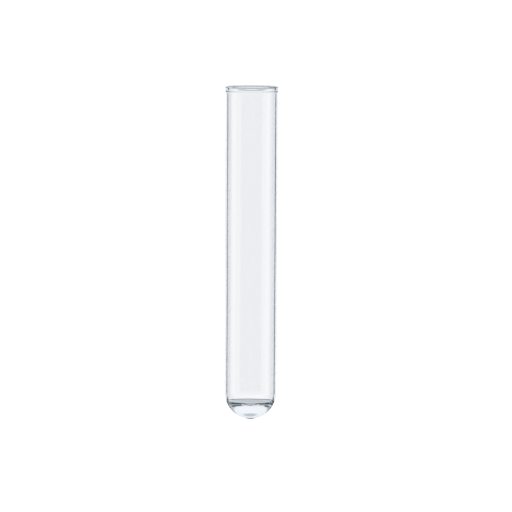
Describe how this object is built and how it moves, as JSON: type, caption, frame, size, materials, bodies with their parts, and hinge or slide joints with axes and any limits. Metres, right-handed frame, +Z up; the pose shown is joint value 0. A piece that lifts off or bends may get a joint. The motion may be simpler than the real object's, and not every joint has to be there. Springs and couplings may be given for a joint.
{
  "type": "test tube",
  "caption": "Clear thin-walled glass test tube with a round closed end and a small fire-polished bead at the open mouth.",
  "frame": {"origin": "lowest point of the round end, on the tube's axis", "axes": "+Z up the tube's axis to the open mouth; round, so X and Y are alike"},
  "size_m": [0.016, 0.0158, 0.1],
  "materials": {
    "glass": "clear drawn borosilicate glass, fire-polished"
  },
  "bodies": {
    "root": {"glass_tube": "glass"}
  },
  "joints": []
}
